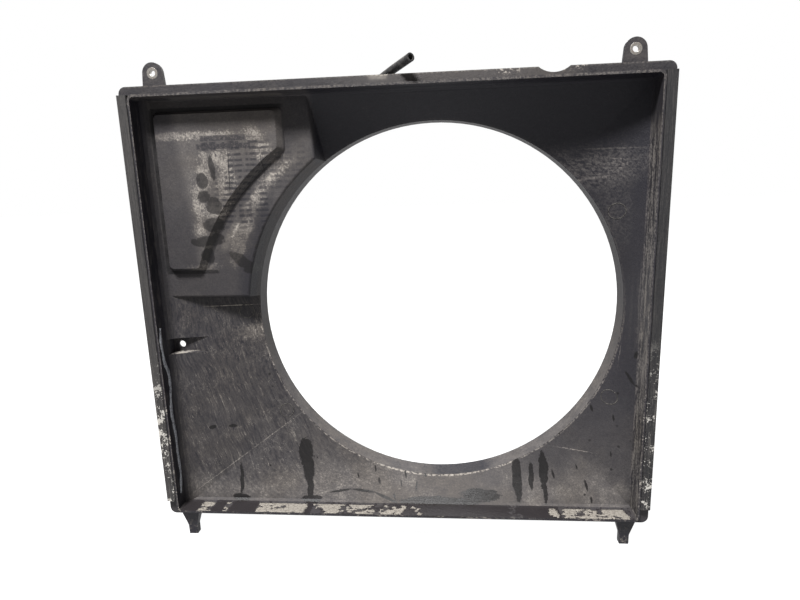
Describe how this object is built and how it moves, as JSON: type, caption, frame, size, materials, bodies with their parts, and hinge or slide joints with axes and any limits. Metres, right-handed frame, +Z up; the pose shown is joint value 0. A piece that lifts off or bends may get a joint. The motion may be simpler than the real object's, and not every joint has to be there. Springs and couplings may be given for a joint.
{
  "type": "radiator fan shroud",
  "caption": "Square tray with sealing strips and bolt ears that funnels air from a radiator into a round off-centre fan ring, with a hose clipped behind it.",
  "frame": {"origin": "midpoint between the two upper bolt holes, on the front faces of their steel sleeves", "axes": "+X to the right as the radiator sees it, +Y towards the fan and engine, +Z up"},
  "size_m": [0.68, 0.1023, 0.659],
  "materials": {
    "shell_plastic": "black polypropylene, satin, dusty and mud splashed",
    "sleeve_steel": "plain steel, dull and worn",
    "seal_foam": "closed-cell sponge rubber, dusty and scuffed",
    "hose_rubber": "smooth black rubber hose"
  },
  "bodies": {
    "root": {"shroud_shell": "shell_plastic", "ear_sleeve_left": "sleeve_steel", "ear_sleeve_right": "sleeve_steel", "side_seal_left": "seal_foam", "side_seal_right": "seal_foam", "overflow_hose": "hose_rubber"}
  },
  "joints": []
}
